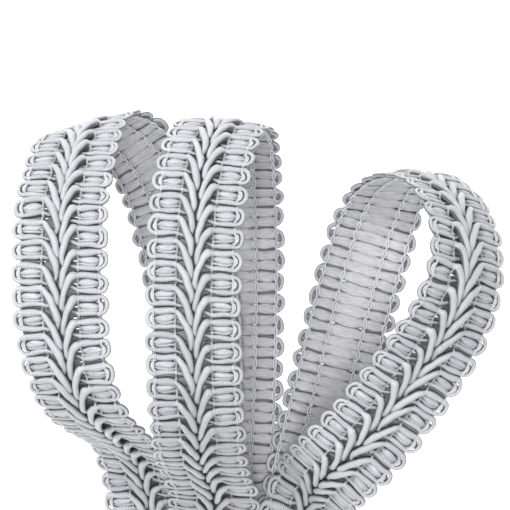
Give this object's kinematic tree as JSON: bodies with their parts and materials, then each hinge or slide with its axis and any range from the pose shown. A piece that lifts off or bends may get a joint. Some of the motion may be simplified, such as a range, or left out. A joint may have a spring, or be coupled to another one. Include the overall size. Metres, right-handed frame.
{
  "type": "gimp braid trim",
  "caption": "Scalloped gimp braid with a raised herringbone plait, wound into open loops that lie on their back.",
  "frame": {"origin": "middle of the footprint, on the surface the trim lies on", "axes": "+Y along the loops towards their round tops, +X to the right seen from above with +Y up, +Z up from the surface"},
  "size_m": [0.1011, 0.1072, 0.047],
  "materials": {
    "satin_cord": "satin metallic silver-grey thread"
  },
  "bodies": {
    "root": {"trim": "satin_cord"}
  },
  "joints": []
}
